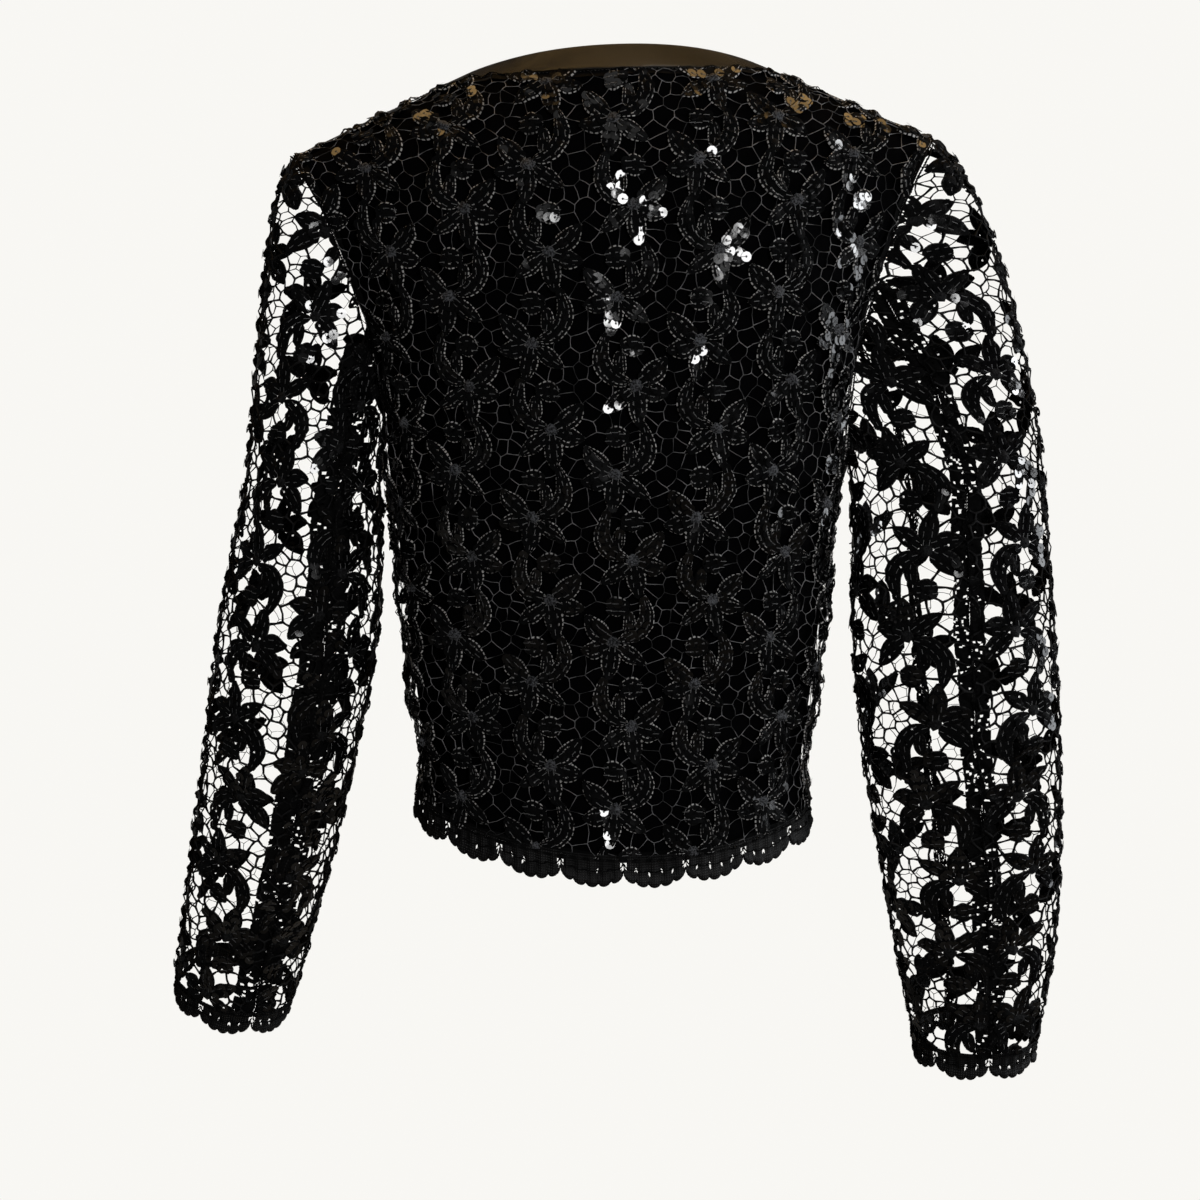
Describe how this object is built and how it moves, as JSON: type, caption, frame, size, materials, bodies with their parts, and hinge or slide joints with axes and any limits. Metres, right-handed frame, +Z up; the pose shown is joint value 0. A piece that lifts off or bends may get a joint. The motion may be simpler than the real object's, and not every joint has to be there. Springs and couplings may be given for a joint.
{
  "type": "lace jacket",
  "caption": "Cropped long-sleeved jacket of black flower lace, lined in the body only, with a satin neck band and scalloped edging at hem and cuffs",
  "frame": {"origin": "midway between the two side neck points, where the shoulders hold the jacket up", "axes": "+Z up along the wearer, -Y out of the wearer's chest, +X towards the wearer's left"},
  "size_m": [0.6192, 0.2287, 0.7052],
  "materials": {
    "lace": "matt corded lace",
    "lining": "smooth lining cloth",
    "satin": "satin",
    "edging": "matt crochet"
  },
  "bodies": {
    "root": {"lace_back": "lace", "lace_front_left": "lace", "lace_front_right": "lace", "sleeve_left_top": "lace", "sleeve_left_under": "lace", "sleeve_right_top": "lace", "sleeve_right_under": "lace", "lining_back": "lining", "lining_front_left": "lining", "lining_front_right": "lining", "neck_band": "satin", "hem_edging": "edging", "cuff_edging_left": "edging", "cuff_edging_right": "edging"}
  },
  "joints": []
}
